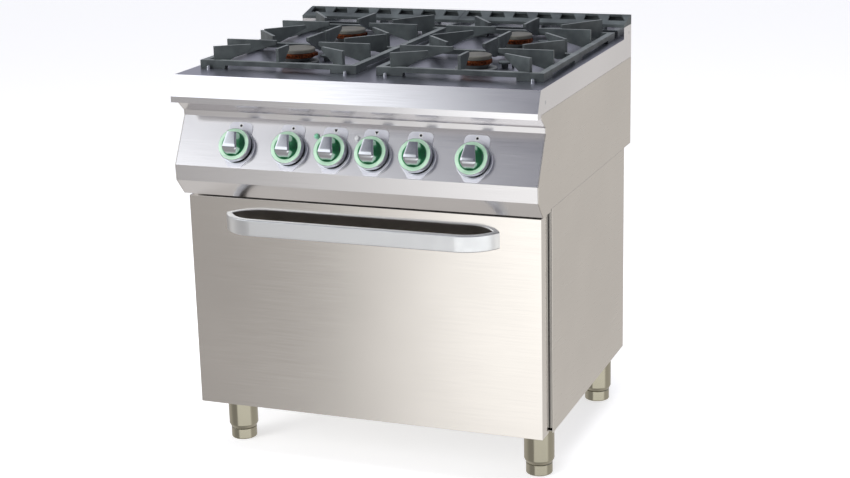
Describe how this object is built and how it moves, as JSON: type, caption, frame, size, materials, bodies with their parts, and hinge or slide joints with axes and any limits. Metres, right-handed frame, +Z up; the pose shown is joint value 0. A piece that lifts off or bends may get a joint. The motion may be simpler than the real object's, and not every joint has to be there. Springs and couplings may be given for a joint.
{
  "type": "commercial gas range",
  "caption": "Free-standing stainless steel range: gas hob with cast iron pan supports over an oven with a drop-down door, sloped knob panel, rear flue grille and tubular legs.",
  "frame": {"origin": "centre of the base of the whole object's box, on the floor", "axes": "+X to the right seen from the front, -Y to the front, where the door and knobs are, +Z up"},
  "size_m": [0.8, 0.749, 0.9],
  "materials": {
    "worktop": "satin stainless steel",
    "panel": "satin stainless steel",
    "cabinet": "satin stainless steel",
    "door": "brushed stainless steel",
    "oven_steel": "smooth stainless steel",
    "insulation": "mineral wool",
    "chrome_wire": "chromed steel wire",
    "element": "heat-darkened sheath",
    "seal": "silicone",
    "bracket": "zinc plated steel",
    "gas_pipe": "zinc plated steel",
    "brass": "turned brass",
    "copper": "drawn copper",
    "crown": "heat-tinted brass",
    "cast_iron": "matt black enamelled cast iron",
    "bezel": "satin chromed plate",
    "knob": "chromed knob with a pale green face ring",
    "control": "moulded phenolic housing",
    "lens_green": "green lens",
    "lens_clear": "clear lens",
    "gland": "nylon",
    "screw": "stainless steel",
    "peg": "polished steel",
    "leg": "polished stainless steel tube",
    "handle": "satin stainless steel"
  },
  "bodies": {
    "range_body": {"worktop": "worktop", "control_panel": "panel", "hob_side_left": "cabinet", "hob_side_right": "cabinet", "hob_back": "cabinet", "hob_tray": "cabinet", "flue_duct": "cabinet", "cabinet_side_left": "cabinet", "cabinet_side_right": "cabinet", "cabinet_back": "cabinet", "cabinet_base": "cabinet", "oven_front_frame": "cabinet", "oven_liner": "oven_steel", "oven_insulation": "insulation", "rack_guides": "chrome_wire", "heating_elements": "element", "door_seal": "seal", "hinge_brackets": "bracket", "gas_rail": "gas_pipe", "gas_taps": "brass", "gas_feed_tubes": "copper", "burner_bases": "cast_iron", "burner_crowns": "crown", "pilot_burners": "cast_iron", "knob_bezels": "bezel", "oven_controls": "control", "lamp_green": "lens_green", "lamp_clear": "lens_clear", "cable_gland": "gland", "sheet_screws": "screw", "locating_pegs": "peg", "legs": "leg"},
    "oven_door": {"door_panel": "door", "door_liner": "oven_steel", "door_insulation": "insulation", "door_handle": "handle", "door_hinges": "bracket"},
    "pan_support_left": {"pan_support_left": "cast_iron"},
    "flue_grille_left": {"flue_grille_left": "cast_iron"},
    "pan_support_right": {"pan_support_right": "cast_iron"},
    "flue_grille_right": {"flue_grille_right": "cast_iron"},
    "cap_front_left": {"cap_front_left": "cast_iron"},
    "cap_rear_left": {"cap_rear_left": "cast_iron"},
    "cap_rear_right": {"cap_rear_right": "cast_iron"},
    "cap_front_right": {"cap_front_right": "cast_iron"},
    "tap_plug_1": {"tap_plug_1": "brass"},
    "tap_plug_2": {"tap_plug_2": "brass"},
    "tap_plug_5": {"tap_plug_5": "brass"},
    "tap_plug_6": {"tap_plug_6": "brass"},
    "knob_1": {"knob_1": "knob"},
    "knob_2": {"knob_2": "knob"},
    "knob_3": {"knob_3": "knob"},
    "knob_4": {"knob_4": "knob"},
    "knob_5": {"knob_5": "knob"},
    "knob_6": {"knob_6": "knob"},
    "oven_shelf": {"oven_shelf": "chrome_wire"},
    "foot_front_left": {"foot_front_left": "leg"},
    "foot_front_right": {"foot_front_right": "leg"},
    "foot_rear_left": {"foot_rear_left": "leg"},
    "foot_rear_right": {"foot_rear_right": "leg"}
  },
  "joints": [
    {"name": "door_hinge", "type": "hinge", "parent": "range_body", "child": "oven_door", "pos_m": [0, -0.26704, 0.1261], "axis": [1, 0, 0], "range_deg": [0, 90]},
    {"name": "burner_knob_1_turn", "type": "hinge", "parent": "range_body", "child": "tap_plug_1", "pos_m": [-0.261, -0.33307, 0.70395], "axis": [0, 0.875, -0.4841], "range_deg": [-180, 0]},
    {"name": "burner_knob_1_push", "type": "slide", "parent": "tap_plug_1", "child": "knob_1", "axis": [0, 0.875, -0.4841], "range_m": [0, 0.004], "stiffness_N_per_m": 2500, "springref_m": -0.002},
    {"name": "burner_knob_2_turn", "type": "hinge", "parent": "range_body", "child": "tap_plug_2", "pos_m": [-0.141, -0.33307, 0.70395], "axis": [0, 0.875, -0.4841], "range_deg": [-180, 0]},
    {"name": "burner_knob_2_push", "type": "slide", "parent": "tap_plug_2", "child": "knob_2", "axis": [0, 0.875, -0.4841], "range_m": [0, 0.004], "stiffness_N_per_m": 2500, "springref_m": -0.002},
    {"name": "burner_knob_5_turn", "type": "hinge", "parent": "range_body", "child": "tap_plug_5", "pos_m": [0.141, -0.33307, 0.70395], "axis": [0, 0.875, -0.4841], "range_deg": [-180, 0]},
    {"name": "burner_knob_5_push", "type": "slide", "parent": "tap_plug_5", "child": "knob_5", "axis": [0, 0.875, -0.4841], "range_m": [0, 0.004], "stiffness_N_per_m": 2500, "springref_m": -0.002},
    {"name": "burner_knob_6_turn", "type": "hinge", "parent": "range_body", "child": "tap_plug_6", "pos_m": [0.261, -0.33307, 0.70395], "axis": [0, 0.875, -0.4841], "range_deg": [-180, 0]},
    {"name": "burner_knob_6_push", "type": "slide", "parent": "tap_plug_6", "child": "knob_6", "axis": [0, 0.875, -0.4841], "range_m": [0, 0.004], "stiffness_N_per_m": 2500, "springref_m": -0.002},
    {"name": "oven_mode_turn", "type": "hinge", "parent": "range_body", "child": "knob_3", "pos_m": [-0.045, -0.33307, 0.70395], "axis": [0, 0.875, -0.4841], "range_deg": [0, 270]},
    {"name": "oven_temperature_turn", "type": "hinge", "parent": "range_body", "child": "knob_4", "pos_m": [0.045, -0.33307, 0.70395], "axis": [0, 0.875, -0.4841], "range_deg": [0, 270]},
    {"name": "pan_support_left_lift", "type": "slide", "parent": "range_body", "child": "pan_support_left", "axis": [0, 0, 1], "range_m": [0, 0.08]},
    {"name": "pan_support_right_lift", "type": "slide", "parent": "range_body", "child": "pan_support_right", "axis": [0, 0, 1], "range_m": [0, 0.08]},
    {"name": "flue_grille_left_lift", "type": "slide", "parent": "range_body", "child": "flue_grille_left", "axis": [0, 0, 1], "range_m": [0, 0.06]},
    {"name": "flue_grille_right_lift", "type": "slide", "parent": "range_body", "child": "flue_grille_right", "axis": [0, 0, 1], "range_m": [0, 0.06]},
    {"name": "cap_front_left_lift", "type": "slide", "parent": "range_body", "child": "cap_front_left", "axis": [0, 0, 1], "range_m": [0, 0.06]},
    {"name": "cap_rear_left_lift", "type": "slide", "parent": "range_body", "child": "cap_rear_left", "axis": [0, 0, 1], "range_m": [0, 0.06]},
    {"name": "cap_rear_right_lift", "type": "slide", "parent": "range_body", "child": "cap_rear_right", "axis": [0, 0, 1], "range_m": [0, 0.06]},
    {"name": "cap_front_right_lift", "type": "slide", "parent": "range_body", "child": "cap_front_right", "axis": [0, 0, 1], "range_m": [0, 0.06]},
    {"name": "oven_shelf_slide", "type": "slide", "parent": "range_body", "child": "oven_shelf", "axis": [0, -1, 0], "range_m": [-0.004, 0.012]},
    {"name": "foot_front_left_screw", "type": "slide", "parent": "range_body", "child": "foot_front_left", "axis": [0, 0, -1], "range_m": [0, 0.03]},
    {"name": "foot_front_right_screw", "type": "slide", "parent": "range_body", "child": "foot_front_right", "axis": [0, 0, -1], "range_m": [0, 0.03]},
    {"name": "foot_rear_left_screw", "type": "slide", "parent": "range_body", "child": "foot_rear_left", "axis": [0, 0, -1], "range_m": [0, 0.03]},
    {"name": "foot_rear_right_screw", "type": "slide", "parent": "range_body", "child": "foot_rear_right", "axis": [0, 0, -1], "range_m": [0, 0.03]}
  ]
}
